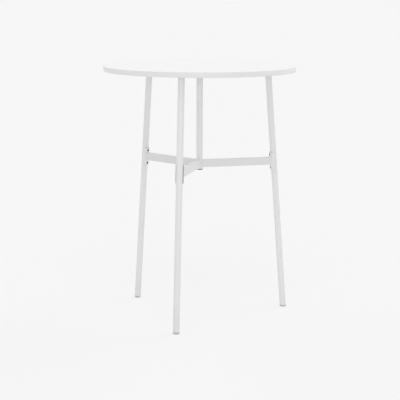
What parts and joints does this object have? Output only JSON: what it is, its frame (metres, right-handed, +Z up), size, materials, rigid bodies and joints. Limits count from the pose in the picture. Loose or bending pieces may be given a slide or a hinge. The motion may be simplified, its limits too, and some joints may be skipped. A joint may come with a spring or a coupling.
{
  "type": "standing meeting table",
  "caption": "Round standing-height meeting table: white laminated top on splayed round-tube legs, tied by a Y-shaped spreader with screwed saddles and a centre post.",
  "frame": {"origin": "on the floor, under the middle of the round top", "axes": "+Z up; the front leg points to -Y, the right and left legs lie 120 degrees to each side of it"},
  "size_m": [0.8, 0.8, 1.05],
  "materials": {
    "white_laminate": "fine-textured high-pressure laminate",
    "white_edge_band": "satin edge band",
    "board_core": "raw particle board",
    "white_powder_coat": "satin powder coat",
    "black_plastic": "fine moulded texture",
    "grey_nylon": "matt moulded nylon",
    "dark_steel": "dark zinc",
    "zinc_steel": "bright zinc"
  },
  "bodies": {
    "root": {"top_laminate": "white_laminate", "top_core": "board_core", "top_backer": "white_laminate", "edge_band": "white_edge_band", "front_flange": "white_powder_coat", "front_flange_screw_1": "zinc_steel", "front_flange_screw_2": "zinc_steel", "front_flange_screw_3": "zinc_steel", "right_flange": "white_powder_coat", "right_flange_screw_1": "zinc_steel", "right_flange_screw_2": "zinc_steel", "right_flange_screw_3": "zinc_steel", "left_flange": "white_powder_coat", "left_flange_screw_1": "zinc_steel", "left_flange_screw_2": "zinc_steel", "left_flange_screw_3": "zinc_steel", "post_flange": "white_powder_coat", "post_flange_screw_1": "zinc_steel", "post_flange_screw_2": "zinc_steel", "post_flange_screw_3": "zinc_steel", "post_tube": "white_powder_coat", "post_cap": "black_plastic", "front_leg_tube": "white_powder_coat", "front_glide": "grey_nylon", "front_saddle": "white_powder_coat", "front_saddle_liner": "black_plastic", "front_arm": "white_powder_coat", "front_upper_saddle_screw": "dark_steel", "front_upper_rivet_nut": "zinc_steel", "front_lower_saddle_screw": "dark_steel", "front_lower_rivet_nut": "zinc_steel", "right_leg_tube": "white_powder_coat", "right_glide": "grey_nylon", "right_saddle": "white_powder_coat", "right_saddle_liner": "black_plastic", "right_arm": "white_powder_coat", "right_upper_saddle_screw": "dark_steel", "right_upper_rivet_nut": "zinc_steel", "right_lower_saddle_screw": "dark_steel", "right_lower_rivet_nut": "zinc_steel", "left_leg_tube": "white_powder_coat", "left_glide": "grey_nylon", "left_saddle": "white_powder_coat", "left_saddle_liner": "black_plastic", "left_arm": "white_powder_coat", "left_upper_saddle_screw": "dark_steel", "left_upper_rivet_nut": "zinc_steel", "left_lower_saddle_screw": "dark_steel", "left_lower_rivet_nut": "zinc_steel"}
  },
  "joints": []
}
